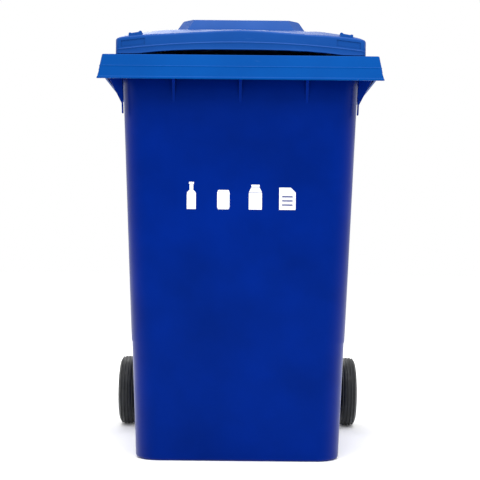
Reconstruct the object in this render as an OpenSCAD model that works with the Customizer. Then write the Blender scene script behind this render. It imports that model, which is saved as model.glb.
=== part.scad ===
// Two-wheeled refuse bin with a hinged lid, millimetres.
// +Z is up, the front faces -Y, and the origin is on the floor under the middle of the outline.

/* [Overall] */
// Width over the lower lip of the front rim
rim_w = 690; // [620:1:740]
// Depth from the front lip to the back of the hinge lugs
overall_d = 860; // [800:1:920]
// Height of the rim's top face above the floor
rim_z = 986; // [850:1:1100]

/* [Tub] */
// Distance from the side lip of the rim in to the tub's side wall
side_reach = 52; // [42:1:60]
// How far each side wall leans in on its way down
side_lean = 39; // [20:1:50]
// Depth from the front lip back to the tub's front wall at the rim
comb_reach = 45; // [38:1:60]
// How far the front wall leans back on its way down
front_lean = 33; // [15:1:60]
// How far the rear wall leans forward on its way down
rear_lean = 140; // [100:1:160]
// Wall thickness of the tub
tub_wall = 4; // [3:0.5:7]
// Radius of the tub's upright corners
tub_corner_r = 60; // [40:1:80]
// Height of the bevelled foot
foot_h = 6; // [4:1:20]
// How far the foot is set in
foot_inset = 4; // [2:1:16]

/* [Rim] */
// Height of the front skirt that the lifting comb hooks under
skirt_h = 60; // [45:1:80]
// Height of the skirt along the sides
side_skirt_h = 40; // [25:1:45]
// How far the skirt flares outward on its way down
skirt_flare = 11; // [4:1:16]
// Thickness of the rim's walls
rim_wall = 4; // [3:0.5:7]
// Radius of the rim's corners in plan
rim_corner_r = 8; // [6:1:40]
// Length of the comb ribs under the skirt's lower lip
rib_drop = 53; // [30:1:80]
// Spacing of the comb ribs
rib_pitch = 162; // [120:1:200]
// Thickness of the ribs and gussets
rib_t = 8; // [5:0.5:10]

/* [Lid] */
// Distance from the rim's outer top edge in to the side of the lid
lid_set_in = 32; // [20:1:40]
// Wall thickness of the lid
lid_wall = 4; // [3:0.5:6]
// Gap between the rim and the lid's lower edge
lid_gap = 3; // [2:0.5:5]
// Height of the lid's front edge above the rim, at the middle
lid_front_h = 62; // [50:1:80]
// How much the lid's top drops from its middle to its sides
lid_crown = 20; // [10:1:30]
// Slope of the front strip of the lid, in degrees
lid_slope = 11.5; // [6:0.5:16]
// How far the front strip runs back
lid_slope_run = 92; // [60:1:120]
// Height of the raised middle panel above the lid
hump_h = 27; // [15:1:40]
// Width of the raised middle panel at its foot
hump_w = 324; // [260:1:380]
// Height of the finger opening cut into the lid's front edge
finger_h = 12; // [8:1:20]
// Distance from the lid's side to the end of the finger opening
finger_end = 52; // [40:1:120]

/* [Hinge and grips] */
// Diameter of the lid's hinge pins
pin_d = 16; // [12:0.5:20]
// Running clearance round each pin and axle
fit_gap = 0.05; // [0.03:0.01:0.1]
// Radius of the body's hinge lugs
lug_r = 22; // [18:1:24]
// Width of a hinge lug
lug_w = 18; // [14:1:24]
// Width of the lid's knuckle between two lugs
knuckle_w = 46; // [30:1:60]
// Side gap between a knuckle and a lug
knuckle_gap = 4; // [1:0.5:6]
// Distance from the bin's middle to the inner face of the inner lug
grip_half = 178; // [150:1:190]
// Diameter of the two hand grips
grip_d = 30; // [24:1:36]

/* [Wheels] */
// Diameter of the tyre
wheel_d = 200; // [180:1:220]
// Width of the tyre
wheel_w = 50; // [40:1:54]
// How far each tyre stands out past the rim's side lip
wheel_stand_out = 2; // [0:0.5:12]
// Distance from the tub's rear wall, at the foot, back to the axle
axle_behind = 32; // [28:1:45]
// Diameter of the axle
axle_d = 22; // [18:0.5:26]
// Thickness of the rubber on the hub
tyre_t = 26; // [16:1:32]
// Thickness of the thrust washer inside each wheel
washer_t = 2.5; // [2:0.5:3]

/* [Hidden] */

body_blue = "#003a94";
rim_blue = "#0059b5";
lid_blue = "#005bbb";

// Fore and aft places
front_y = -overall_d / 2;
hinge_y = overall_d / 2 - lug_r;
hinge_z = rim_z + 18;
axle_z = wheel_d / 2;

// Tub: front and rear wall places at the rim and just above the foot
tub_front_top = front_y + comb_reach;
tub_front_low = tub_front_top + front_lean;
rim_rear_gap = 37;
rim_rear = hinge_y - grip_d / 2 - rim_rear_gap;
tub_rear_top = rim_rear - 8;
tub_rear_low = tub_rear_top - rear_lean;
floor_t = tub_wall + 1;
tub_top_w = rim_w - 2 * side_reach;
tub_bottom_w = tub_top_w - 2 * side_lean;
axle_y = tub_rear_low + axle_behind;

// Rim: places of the skirt
skirt_low = rim_z - skirt_h;
gusset_pitch = (tub_rear_top - tub_front_top - 58) / 3;
skirt_front_top = front_y + skirt_flare + 1;
rim_top_w = rim_w - 2 * skirt_flare;

// Lid: plan and heights
lid_w = rim_top_w - 2 * lid_set_in;
finger_w = lid_w - 2 * finger_end;
lid_front = skirt_front_top + 8;
lid_rear = rim_rear - 2;
lid_low = rim_z + lid_gap;
lid_front_z = rim_z + lid_front_h;
lid_top_z = lid_front_z + lid_slope_run * tan(lid_slope);
lid_corner_r = 12;
lug_depth = 30;
arch_steps = 12;

// Hinge: the lug, gap and knuckle rows, measured from the middle
inner_lug_in = grip_half;
inner_lug_out = inner_lug_in + lug_w;
knuckle_in = inner_lug_out + knuckle_gap;
knuckle_out = knuckle_in + knuckle_w;
outer_lug_in = knuckle_out + knuckle_gap;
outer_lug_out = outer_lug_in + lug_w;
pin_head_t = 4;
pin_end_gap = 1;
blind_floor = 3;
knuckle_r = pin_d / 2 + 10;
mid_bracket_w = 24;

// Wheels: places along the axle, measured from the middle
tyre_out = rim_w / 2 + wheel_stand_out;
tyre_in = tyre_out - wheel_w;
side_gap = 0.3;
hub_d = wheel_d - 2 * tyre_t;
hub_in = tyre_in - 4;
hub_boss_out = tyre_out - 16;
washer_in = hub_in - side_gap - washer_t;
housing_out = washer_in - side_gap;
housing_in = housing_out - 92;
housing_r = 24;
clip_t = 3;
axle_end = hub_boss_out + side_gap + clip_t + 4;
boss_r = axle_d / 2 + 13;

// Pictograms
icon_h = 66;
icon_t = 0.6;
icon_pitch = 78;
icon_z = 650;

// Rounded rectangle from (-w/2, y0) to (w/2, y1)
module plan(w, y0, y1, r) {
    for (x = [-w / 2 + r, w / 2 - r], y = [y0 + r, y1 - r])
        translate([x, y])
            circle(r, $fn = 32);
    translate([-w / 2 + r, y0])
        square([w - 2 * r, y1 - y0]);
    translate([-w / 2, y0 + r])
        square([w, y1 - y0 - 2 * r]);
}

module slab(w, y0, y1, r, z, t = 0.02) {
    translate([0, 0, z])
        linear_extrude(t)
            plan(w, y0, y1, r);
}

// Draws a Y-Z outline as a plate between two places along X
module along_x(x0, x1) {
    translate([x0, 0, 0])
        rotate([90, 0, 90])
            linear_extrude(x1 - x0)
                children();
}

// Draws an X-Z outline as a plate between two places along Y
module along_y(y0, y1) {
    translate([0, y1, 0])
        rotate([90, 0, 0])
            linear_extrude(y1 - y0)
                children();
}

// Place of the tub's front wall, outer face, at a height
function wall_front(z) =
    tub_front_low - front_lean * (z - foot_h) / (rim_z - foot_h);

// Place of the tub's rear wall, outer face, at a height
function wall_rear(z) =
    tub_rear_low + rear_lean * (z - foot_h) / (rim_z - foot_h);

// Half the tub's outer width at a height
function wall_side(z) =
    tub_bottom_w / 2 + (tub_top_w - tub_bottom_w) / 2 * (z - foot_h) / (rim_z - foot_h);

// The tub's outer shape, or its hollow when set in by a wall
module tub_form(inset, low, high) {
    hull() {
        if (inset == 0)
            slab(tub_bottom_w - 2 * foot_inset, tub_front_low + foot_inset,
                 tub_rear_low - foot_inset, tub_corner_r - foot_inset, low);
        slab(tub_bottom_w - 2 * inset, tub_front_low + inset,
             tub_rear_low - inset, tub_corner_r - inset, max(low, foot_h));
        slab(tub_top_w - 2 * inset, tub_front_top + inset,
             tub_rear_top - inset, tub_corner_r - inset, high - 0.02);
    }
}

module skirt_form(inset, drop) {
    hull() {
        slab(rim_top_w - 2 * inset, skirt_front_top + inset, rim_rear - inset,
             rim_corner_r - inset, rim_z - 0.02 - drop);
        slab(rim_w - 2 * inset, front_y + inset, rim_rear - inset,
             rim_corner_r - inset, skirt_low);
    }
}

module rim() {
    difference() {
        skirt_form(0, 0);
        skirt_form(rim_wall, rim_wall);
        translate([0, 0, skirt_low - 1])
            linear_extrude(2)
                plan(rim_w - 2 * rim_wall, front_y + rim_wall, rim_rear - rim_wall,
                     rim_corner_r - rim_wall);
        // opening of the tub
        translate([0, 0, rim_z - 20])
            linear_extrude(40)
                plan(tub_top_w - 2 * tub_wall, tub_front_top + tub_wall,
                     tub_rear_top - tub_wall, tub_corner_r - tub_wall);
        // the sides and back carry a shorter skirt
        translate([-rim_w, tub_front_top + 15, skirt_low - 1])
            cube([2 * rim_w, overall_d, skirt_h - side_skirt_h + 1]);
        // the back keeps only its flange, to clear the hands
        translate([-outer_lug_out, tub_rear_top - 30, skirt_low - 1])
            cube([2 * outer_lug_out, 80, skirt_h - rim_wall + 1]);
    }
}

// One comb rib: a plate from the tub's front wall to the skirt
module comb_rib(x) {
    along_x(x - rib_t / 2, x + rib_t / 2)
        polygon([
            [wall_front(skirt_low - rib_drop) + 1, skirt_low - rib_drop],
            [wall_front(skirt_low) - 10, skirt_low - 2],
            [front_y + rim_wall - 2, skirt_low + 10],
            [skirt_front_top + rim_wall - 2, rim_z - 2],
            [tub_front_top + 2, rim_z - 2],
            [wall_front(skirt_low) + 2, skirt_low]
        ]);
}

// One side gusset on the right side: a plate from the tub's side wall to the rim
module side_gusset(y) {
    side_low = rim_z - side_skirt_h;
    fin_low = skirt_low - 76;
    fin_top = skirt_low - 51;
    along_y(y - rib_t / 2, y + rib_t / 2)
        polygon([
            [wall_side(fin_low) - 2, fin_low],
            [wall_side(fin_low) + 7, fin_low],
            [wall_side(fin_top) + 7, fin_top],
            [wall_side(skirt_low) + 26, skirt_low],
            [rim_top_w / 2 - 1, side_low + 6],
            [rim_top_w / 2 - 1, rim_z - 2],
            [wall_side(rim_z) - 2, rim_z - 2]
        ]);
}

// Hinge lug between two places: a round eye on an arm that reaches into the tub's rear wall
module lug(x0, x1) {
    reach = 20;
    along_x(x0, x1)
        translate([hinge_y, hinge_z])
            circle(lug_r, $fn = 64);
    along_x(x0, x1)
        polygon([
            [wall_rear(rim_z - 66) - reach, rim_z - 66],
            [wall_rear(rim_z - 2) - reach, rim_z - 2],
            [hinge_y - lug_r + 3, rim_z - 2],
            [hinge_y - lug_r + 6, hinge_z],
            [hinge_y, hinge_z],
            [hinge_y + lug_r - 8, rim_z + 4]
        ]);
}

// Axle housing outline: a round eye joined to the tub's lower rear edge
module housing_outline() {
    translate([axle_y, axle_z])
        circle(housing_r, $fn = 64);
    polygon([
        [wall_rear(foot_h) - 1.5, foot_h + 10],
        [axle_y + 4, axle_z - housing_r + 0.5],
        [axle_y + 10, axle_z + housing_r - 3],
        [wall_rear(axle_z + 90) - 1, axle_z + 90]
    ]);
}

module mirrored_pair() {
    children();
    mirror([1, 0, 0])
        children();
}

// The tub, open at the top
module tub() {
    color(body_blue)
        difference() {
            tub_form(0, 0, rim_z);
            tub_form(tub_wall, foot_h + floor_t, rim_z + 0.02);
        }
}

// Takes the tub's outer shape out of what stands on its walls
module outside_tub() {
    difference() {
        children();
        tub_form(0, 0, rim_z);
    }
}

// Flange and skirt round the tub's mouth, with the ribs and gussets under them
module comb_rim() {
    color(rim_blue)
        outside_tub() {
            rim();
            for (i = [-1, 0, 1])
                comb_rib(i * rib_pitch);
            mirrored_pair()
                for (i = [0:2])
                    side_gusset(tub_front_top + 25 + i * gusset_pitch);
        }
}

// Cuts the rim's flange and the pin's bore out of what stands behind the tub
module behind_rim(bore_from) {
    difference() {
        outside_tub()
            children();
        // seat of the rim's rear flange
        translate([-rim_w, tub_rear_top - 60, rim_z - rim_wall])
            cube([2 * rim_w, rim_rear - tub_rear_top + 60, 2 * rim_wall]);
        mirrored_pair()
            translate([bore_from, hinge_y, hinge_z])
                rotate([0, 90, 0])
                    cylinder(d = pin_d + 2 * fit_gap, h = rim_w / 2, $fn = 64);
    }
}

// Inner lugs, middle bracket and the two grips between them
module rear_handle() {
    color(body_blue)
        behind_rim(inner_lug_in + blind_floor) {
            mirrored_pair()
                lug(inner_lug_in, inner_lug_out);
            lug(-mid_bracket_w / 2, mid_bracket_w / 2);
            translate([-inner_lug_in - 1, hinge_y, hinge_z])
                rotate([0, 90, 0])
                    cylinder(d = grip_d, h = 2 * inner_lug_in + 2, $fn = 64);
        }
}

// Outer lug of one hinge, drawn for the right side
module hinge_lug() {
    color(body_blue)
        behind_rim(outer_lug_in - 5)
            lug(outer_lug_in, outer_lug_out);
}

// Housing that carries one end of the axle, drawn for the right side
module axle_housing() {
    color(body_blue)
        difference() {
            outside_tub()
                along_x(housing_in, housing_out)
                    housing_outline();
            translate([0, axle_y, axle_z])
                rotate([0, 90, 0])
                    cylinder(d = axle_d + 2 * fit_gap, h = rim_w, $fn = 64);
        }
}

// Points of a shallow arch, from +half to -half
function arch(half, rise, z) =
    [for (i = [0:arch_steps])
        let (x = half * (1 - 2 * i / arch_steps))
        [x, z - rise * pow(x / half, 2)]];

// Arched cross-section of the lid, down to below its lower edge
module lid_section(half, top, crown) {
    edge = 16;
    deep = 500;
    polygon(concat(
        [[half, top - crown - deep], [half, top - crown - edge]],
        arch(half - edge * 0.6, crown * 0.8, top),
        [[-half, top - crown - edge], [-half, top - crown - deep]]
    ));
}

// The lid's outer shape, or its hollow when set in by a wall
module lid_form(inset) {
    half = lid_w / 2 - inset;
    top = lid_top_z - inset;
    front_top = lid_front_z - inset;
    intersection() {
        // flat middle
        along_y(front_y - 10, hinge_y + 10)
            lid_section(half, top, lid_crown);
        // front strip, sloping down to the front edge
        translate([0, lid_front, front_top])
            rotate([lid_slope, 0, 0])
                along_y(-200, overall_d + 200)
                    lid_section(half, 0, lid_crown);
        // rear strip, sloping down to the hinge
        translate([0, lid_rear, top - 30])
            rotate([-9, 0, 0])
                along_y(-overall_d - 200, 200)
                    lid_section(half, 0, lid_crown);
        // plan
        translate([0, 0, lid_low - (inset > 0 ? 10 : 0)])
            linear_extrude(300)
                plan(2 * half, lid_front + inset, lid_rear - inset, lid_corner_r - inset);
    }
}

// The raised middle panel, or its hollow
module hump_form(inset) {
    base = lid_top_z - (inset > 0 ? 30 : 12);
    rear_base = base - 26;
    top = lid_top_z + hump_h - inset;
    lean = 17;
    y0 = lid_front + lid_slope_run + inset;
    y1 = lid_rear - 38 - inset;
    intersection() {
        along_x(-hump_w, hump_w)
            polygon([
                [y0, base], [y0 + 14, top], [y1 - 130, top],
                [y1, lid_top_z - 16 - inset], [y1, rear_base], [y1 - 150, base]
            ]);
        along_y(y0 - 10, y1 + 10)
            polygon([
                [-hump_w / 2 + inset, rear_base], [hump_w / 2 - inset, rear_base],
                [hump_w / 2 - lean - inset, top], [-hump_w / 2 + lean + inset, top]
            ]);
    }
}

// Outline of the lid's hinge arm: an eye on an arm from the lid's rear skirt
module arm_outline() {
    translate([hinge_y, hinge_z])
        circle(knuckle_r, $fn = 64);
    polygon([
        [lid_rear - 2, lid_low],
        [lid_rear - 2, lid_low + 36],
        [hinge_y - 4, hinge_z + knuckle_r - 0.5],
        [hinge_y, hinge_z],
        [hinge_y - 4, hinge_z - knuckle_r + 0.5]
    ]);
}

// Two small lugs stand on the lid's front corners
module corner_lugs() {
    lug_x0 = lid_w / 2 - 60;
    lug_x1 = lid_w / 2 - 27;
    mirrored_pair()
        along_y(lid_front + 6, lid_front + 6 + lug_depth)
            polygon([
                [lug_x0, lid_front_z - lid_crown - 6],
                [lug_x0, lid_front_z - 2],
                [lug_x0 + 6, lid_front_z],
                [lug_x1 - 6, lid_front_z - 3],
                [lug_x1, lid_front_z - 5],
                [lug_x1, lid_front_z - lid_crown - 9]
            ]);
}

module lid() {
    color(lid_blue)
        difference() {
            union() {
                difference() {
                    union() {
                        lid_form(0);
                        hump_form(0);
                    }
                    lid_form(lid_wall);
                    hump_form(lid_wall);
                }
                corner_lugs();
                mirrored_pair()
                    along_x(knuckle_in, knuckle_out)
                        arm_outline();
            }
            // finger opening, an arch in the lower edge at the front
            along_y(front_y, lid_front + 60)
                polygon(concat(
                    [[-finger_w / 2, lid_low - 5], [finger_w / 2, lid_low - 5]],
                    arch(finger_w / 2, finger_h, lid_low + finger_h)
                ));
            mirrored_pair()
                translate([knuckle_in - 1, hinge_y, hinge_z])
                    rotate([0, 90, 0])
                        cylinder(d = pin_d + 2 * fit_gap, h = knuckle_w + 2, $fn = 64);
        }
}

// Rubber stops on the inside of the lid's skirt, which meet the rim's flange
module lid_buffers() {
    stop_w = 11;
    stop_l = 34;
    stop_h = 15;
    color("#1c1c1e")
        mirrored_pair()
            for (y = [lid_front + 160, lid_rear - 154])
                translate([lid_w / 2 - lid_wall - stop_w, y, rim_z + side_gap])
                    cube([stop_w, stop_l, stop_h]);
}

// Hinge pin, drawn for the right side
module hinge_pin() {
    color("#15181c") {
        tip = inner_lug_in + blind_floor + pin_end_gap;
        translate([tip, hinge_y, hinge_z])
            rotate([0, 90, 0])
                cylinder(d = pin_d, h = outer_lug_out + side_gap - tip + 0.5, $fn = 64);
        translate([outer_lug_out + side_gap, hinge_y, hinge_z])
            rotate([0, 90, 0])
                cylinder(d = pin_d + 10, h = pin_head_t, $fn = 64);
    }
}

module axle() {
    color("#b9bcc0")
        translate([-axle_end, axle_y, axle_z])
            rotate([0, 90, 0])
                cylinder(d = axle_d, h = 2 * axle_end, $fn = 64);
}

// Turns an outline of radius (X) against distance from the middle (Y) about the axle
module on_axle() {
    translate([0, axle_y, axle_z])
        rotate([0, 90, 0])
            rotate_extrude($fn = 96)
                children();
}

// A plain ring outline between two radii and two places
module ring(r0, r1, x0, x1) {
    translate([r0, x0])
        square([r1 - r0, x1 - x0]);
}

module washer() {
    color("#c9ccd0")
        on_axle()
            ring(axle_d / 2 + fit_gap, axle_d / 2 + 10, washer_in, washer_in + washer_t);
}

module hub() {
    rib_count = 8;
    rim_in_r = hub_d / 2 - 8;
    web_x = tyre_in + 20;
    color("#22252b") {
        difference() {
            union() {
                on_axle()
                    union() {
                        ring(axle_d / 2 - 2, boss_r, hub_in, hub_boss_out);
                        ring(boss_r - 1, rim_in_r + 1, web_x, web_x + 6);
                        ring(rim_in_r, hub_d / 2, tyre_in + 3, tyre_out - 3);
                    }
                for (i = [0:rib_count - 1])
                    translate([0, axle_y, axle_z])
                        rotate([i * 360 / rib_count, 0, 0])
                            translate([tyre_in + 6, -2.5, boss_r - 2])
                                cube([wheel_w - 24, 5, rim_in_r - boss_r + 4]);
            }
            translate([0, axle_y, axle_z])
                rotate([0, 90, 0])
                    cylinder(d = axle_d + 2 * fit_gap, h = rim_w, $fn = 64);
        }
    }
}

// Solid rubber tyre with a barrel tread and two ridges
module tyre() {
    r = wheel_d / 2;
    bore = hub_d / 2;
    x0 = tyre_in;
    w = wheel_w;
    groove = 2;
    color("#17191c")
        on_axle()
            polygon([
                [bore, x0], [r - 12, x0], [r - 3, x0 + 6],
                [r - 0.8, x0 + w * 0.3 - 2], [r - groove - 0.8, x0 + w * 0.3 - 1],
                [r - groove - 0.8, x0 + w * 0.3 + 1], [r, x0 + w * 0.3 + 2],
                [r, x0 + w * 0.7 - 2], [r - groove - 0.8, x0 + w * 0.7 - 1],
                [r - groove - 0.8, x0 + w * 0.7 + 1], [r - 0.8, x0 + w * 0.7 + 2],
                [r - 3, x0 + w - 6], [r - 12, x0 + w], [bore, x0 + w]
            ]);
}

// Sprung push-on clip that holds the wheel on the axle
module clip() {
    color("#a8abb0")
        on_axle()
            ring(axle_d / 2 + fit_gap, axle_d / 2 + 8, hub_boss_out + side_gap,
                 hub_boss_out + side_gap + clip_t);
}

// Plastic cap over the wheel's open side
module cap() {
    cap_r = hub_d / 2 - 8.3;
    cap_t = 3;
    x1 = tyre_out - 3.5;
    color("#2a2d33")
        on_axle()
            union() {
                ring(0, cap_r, x1 - cap_t, x1);
                ring(cap_r - 3, cap_r, x1 - cap_t - 8, x1 - cap_t + 1);
            }
}

// Icons stand on the front wall; each is a flat outline about icon_h tall
module bottle_icon() {
    translate([-11, 0])
        square([22, 36]);
    translate([0, 36])
        circle(11, $fn = 32);
    translate([-4.5, 40])
        square([9, icon_h - 46]);
    translate([-6, icon_h - 5])
        square([12, 5]);
}

module can_icon() {
    translate([-15, 4])
        square([30, 38]);
    polygon([[-12, 0], [12, 0], [15, 3], [-15, 3]]);
    polygon([[-15, 43], [15, 43], [12, 47], [-12, 47]]);
}

module carton_icon() {
    translate([-16, 0])
        square([32, 40]);
    polygon([[-16, 41.5], [16, 41.5], [10, 54], [-10, 54]]);
    translate([-10, 55.5])
        square([20, 5]);
}

module paper_icon() {
    difference() {
        polygon([[-20, 0], [20, 0], [20, 42], [8, 54], [-20, 54]]);
        for (i = [0:2])
            translate([-13, 10 + i * 10])
                square([26, 3.5]);
    }
}

module front_pictograms() {
    tilt = atan(front_lean / (rim_z - foot_h));
    color("#f2f4f6")
        translate([0, wall_front(icon_z) - 0.05, icon_z])
            rotate([90 + tilt, 0, 0])
                    translate([0, -icon_h / 2, 0])
                        linear_extrude(icon_t) {
                            translate([-1.5 * icon_pitch, 0])
                                bottle_icon();
                            translate([-0.5 * icon_pitch, 0])
                                can_icon();
                            translate([0.5 * icon_pitch, 0])
                                carton_icon();
                            translate([1.5 * icon_pitch, 0])
                                paper_icon();
                        }
}

module left() {
    mirror([1, 0, 0])
        children();
}

tub();
comb_rim();
rear_handle();
left() hinge_lug();  // hinge_lug_left
hinge_lug();  // hinge_lug_right
left() axle_housing();  // axle_housing_left
axle_housing();  // axle_housing_right
lid();
lid_buffers();
left() hinge_pin();  // hinge_pin_left
hinge_pin();  // hinge_pin_right
axle();
left() washer();  // axle_washer_left
washer();  // axle_washer_right
left() hub();  // hub_left
hub();  // hub_right
left() tyre();  // tyre_left
tyre();  // tyre_right
left() clip();  // axle_clip_left
clip();  // axle_clip_right
left() cap();  // hub_cap_left
cap();  // hub_cap_right
front_pictograms();
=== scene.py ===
"""Visual model of a two-wheeled refuse bin, built around its packed design frame.

Sizes are in millimetres and become metres when a piece is made. Places come from the frame's own boxes.
"""

import logging
import math
from collections.abc import Callable, Iterable, Sequence
from dataclasses import dataclass
from enum import Enum

import bpy
from mathutils import Matrix, Vector


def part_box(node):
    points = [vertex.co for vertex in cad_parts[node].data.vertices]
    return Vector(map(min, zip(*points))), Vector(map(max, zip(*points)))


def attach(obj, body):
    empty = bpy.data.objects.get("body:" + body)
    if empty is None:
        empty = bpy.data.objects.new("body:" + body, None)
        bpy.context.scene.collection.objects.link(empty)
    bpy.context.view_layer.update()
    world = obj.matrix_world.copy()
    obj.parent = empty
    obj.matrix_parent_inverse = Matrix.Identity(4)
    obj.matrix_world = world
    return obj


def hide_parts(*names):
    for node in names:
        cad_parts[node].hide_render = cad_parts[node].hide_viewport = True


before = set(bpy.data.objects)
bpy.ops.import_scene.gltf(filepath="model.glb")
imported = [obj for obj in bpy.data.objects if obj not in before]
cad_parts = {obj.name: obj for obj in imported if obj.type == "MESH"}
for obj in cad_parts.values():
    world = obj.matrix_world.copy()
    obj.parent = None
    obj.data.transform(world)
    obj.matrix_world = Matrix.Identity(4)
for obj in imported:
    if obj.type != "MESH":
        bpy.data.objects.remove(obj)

LOG = logging.getLogger("refuse_bin")
MM = 0.001

Point = tuple[float, float]
Test = Callable[[Vector, Vector], bool]


class Body(Enum):
    """The rigid bodies of the frame."""

    BIN = "bin"
    LID = "lid"
    WHEEL_LEFT = "wheel_left"
    WHEEL_RIGHT = "wheel_right"


class Pick(Enum):
    """What an edit-mode selection takes hold of."""

    VERTS = (True, False, False)
    EDGES = (False, True, False)
    FACES = (False, False, True)


class Axis(Enum):
    """An axis of the frame, as a unit direction."""

    X = (1.0, 0.0, 0.0)
    Y = (0.0, 1.0, 0.0)
    Z = (0.0, 0.0, 1.0)


# ---------------------------------------------------------------- modelling


def clear_selection() -> None:
    """Leaves edit mode and deselects every object."""
    if bpy.context.object is not None and bpy.context.object.mode != "OBJECT":
        bpy.ops.object.mode_set(mode="OBJECT")
    bpy.ops.object.select_all(action="DESELECT")


class Piece:
    """One piece of the bin, shaped from a primitive with edit-mode operators."""

    def __init__(self, name: str) -> None:
        """Takes over the primitive that was just added.

        Args:
            name: The piece's name.
        """
        bpy.ops.object.transform_apply(location=True, rotation=True, scale=True)
        self.obj = bpy.context.object
        self.obj.name = name
        self.obj.data.name = name

    @classmethod
    def block(cls, name: str, low: Sequence[float], high: Sequence[float]) -> "Piece":
        """Starts from a cube between two corners.

        Args:
            name: The piece's name.
            low: Lowest corner, in mm.
            high: Highest corner, in mm.

        Returns:
            The new piece.
        """
        clear_selection()
        bpy.ops.mesh.primitive_cube_add(
            size=1,
            location=[(a + b) / 2 * MM for a, b in zip(low, high)],
            scale=[(b - a) * MM for a, b in zip(low, high)],
        )
        return cls(name)

    @classmethod
    def rod(cls, name: str, radius: float, start: Sequence[float], length: float) -> "Piece":
        """Starts from a cylinder that runs along X.

        Args:
            name: The piece's name.
            radius: The rod's radius, in mm.
            start: Centre of its low-X end, in mm.
            length: Its length, in mm.

        Returns:
            The new piece.
        """
        clear_selection()
        bpy.ops.mesh.primitive_cylinder_add(
            vertices=64,
            radius=radius * MM,
            depth=length * MM,
            location=((start[0] + length / 2) * MM, start[1] * MM, start[2] * MM),
            rotation=(0, math.pi / 2, 0),
        )
        return cls(name)

    @classmethod
    def plate(cls, name: str, outline: Sequence[Point], axis: Axis, start: float, end: float) -> "Piece":
        """Starts from a flat outline and pushes it into a plate.

        Args:
            name: The piece's name.
            outline: Corners, in mm, along the two axes other than the plate's, in X, Y, Z order.
            axis: The direction across the plate.
            start: Where the plate starts along that axis, in mm.
            end: Where it ends, in mm.

        Returns:
            The new piece.
        """
        clear_selection()
        bpy.ops.mesh.primitive_circle_add(vertices=len(outline), radius=1, fill_type="NGON")
        piece = cls(name)
        for vertex, (a, b) in zip(piece.obj.data.vertices, outline):
            place = {Axis.X: (start, a, b), Axis.Y: (a, start, b), Axis.Z: (a, b, start)}[axis]
            vertex.co = Vector(place) * MM
        piece.pick(Pick.FACES, everything)
        step = Vector(axis.value) * (end - start) * MM
        bpy.ops.mesh.extrude_region_move(TRANSFORM_OT_translate={"value": step})
        piece.face_out()
        return piece

    @classmethod
    def turned(cls, name: str, outline: Sequence[Point], centre: Point, steps: int = 96) -> "Piece":
        """Spins a closed outline about an axle that runs along X.

        Args:
            name: The piece's name.
            outline: Corners as (place along X, radius), in mm.
            centre: The axle's Y and Z, in mm.
            steps: How many flats go round.

        Returns:
            The new piece.
        """
        clear_selection()
        bpy.ops.mesh.primitive_circle_add(vertices=len(outline), radius=1, fill_type="NOTHING")
        piece = cls(name)
        for vertex, (x, radius) in zip(piece.obj.data.vertices, outline):
            vertex.co = Vector((x, centre[0] + radius, centre[1])) * MM
        # an outline that starts and ends on the axle is left open there
        piece.pick(Pick.EDGES, lambda p, d: abs(p.y - centre[0]) < 0.01 and abs(d.x) > 0.9)
        bpy.ops.mesh.delete(type="EDGE")
        piece.pick(Pick.EDGES, everything)
        bpy.ops.mesh.spin(
            steps=steps,
            angle=2 * math.pi,
            center=(0, centre[0] * MM, centre[1] * MM),
            axis=(1, 0, 0),
        )
        bpy.ops.mesh.select_all(action="SELECT")
        bpy.ops.mesh.remove_doubles(threshold=0.02 * MM)
        piece.face_out()
        return piece

    def pick(self, kind: Pick, test: Test) -> "Piece":
        """Selects what passes a test, and stays in edit mode.

        Args:
            kind: Vertices, edges or faces.
            test: Takes a place in mm, and a normal, or for an edge its direction.

        Returns:
            This piece.
        """
        clear_selection()
        bpy.context.view_layer.objects.active = self.obj
        self.obj.select_set(True)
        mesh = self.obj.data
        for group in (mesh.vertices, mesh.edges, mesh.polygons):
            group.foreach_set("select", [False] * len(group))
        if kind is Pick.FACES:
            for face in mesh.polygons:
                face.select = test(face.center / MM, face.normal)
        elif kind is Pick.VERTS:
            for vertex in mesh.vertices:
                vertex.select = test(vertex.co / MM, vertex.normal)
        else:
            for edge in mesh.edges:
                a, b = (mesh.vertices[i].co for i in edge.vertices)
                edge.select = test((a + b) / (2 * MM), (b - a).normalized())
        bpy.context.tool_settings.mesh_select_mode = kind.value
        bpy.ops.object.mode_set(mode="EDIT")
        return self

    def face_out(self) -> None:
        """Turns every face outwards and leaves edit mode."""
        bpy.ops.mesh.select_all(action="SELECT")
        bpy.ops.mesh.normals_make_consistent(inside=False)
        bpy.ops.object.mode_set(mode="OBJECT")

    def slice(self, axis: Axis, places: Iterable[float], test: Test | None = None) -> "Piece":
        """Adds an edge loop at each place along an axis.

        Args:
            axis: The direction across the loops.
            places: Where the loops lie, in mm.
            test: Which faces are cut; all of them by default.

        Returns:
            This piece.
        """
        for place in places:
            self.pick(Pick.FACES, test or everything)
            bpy.ops.mesh.bisect(plane_co=Vector(axis.value) * place * MM, plane_no=axis.value)
        return self

    def bevel(self, test: Test, width: float, segments: int) -> "Piece":
        """Rounds the edges that pass a test.

        Args:
            test: Takes an edge's middle, in mm, and its direction.
            width: The bevel's reach, in mm.
            segments: How many facets it gets.

        Returns:
            This piece.
        """
        self.pick(Pick.EDGES, test)
        bpy.ops.mesh.bevel(offset=width * MM, segments=segments, profile=0.5, affect="EDGES")
        return self

    def move(self, test: Test, step: Sequence[float]) -> "Piece":
        """Moves the vertices that pass a test by a step in mm."""
        self.pick(Pick.VERTS, test)
        bpy.ops.transform.translate(value=Vector(step) * MM)
        return self

    def stretch(self, test: Test, factors: Sequence[float], about: Sequence[float]) -> "Piece":
        """Scales the vertices that pass a test.

        Args:
            test: Takes a vertex's place, in mm, and its normal.
            factors: Scale along X, Y and Z.
            about: The fixed point, in mm.

        Returns:
            This piece.
        """
        self.pick(Pick.VERTS, test)
        bpy.ops.transform.resize(value=factors, center_override=Vector(about) * MM)
        return self

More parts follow.
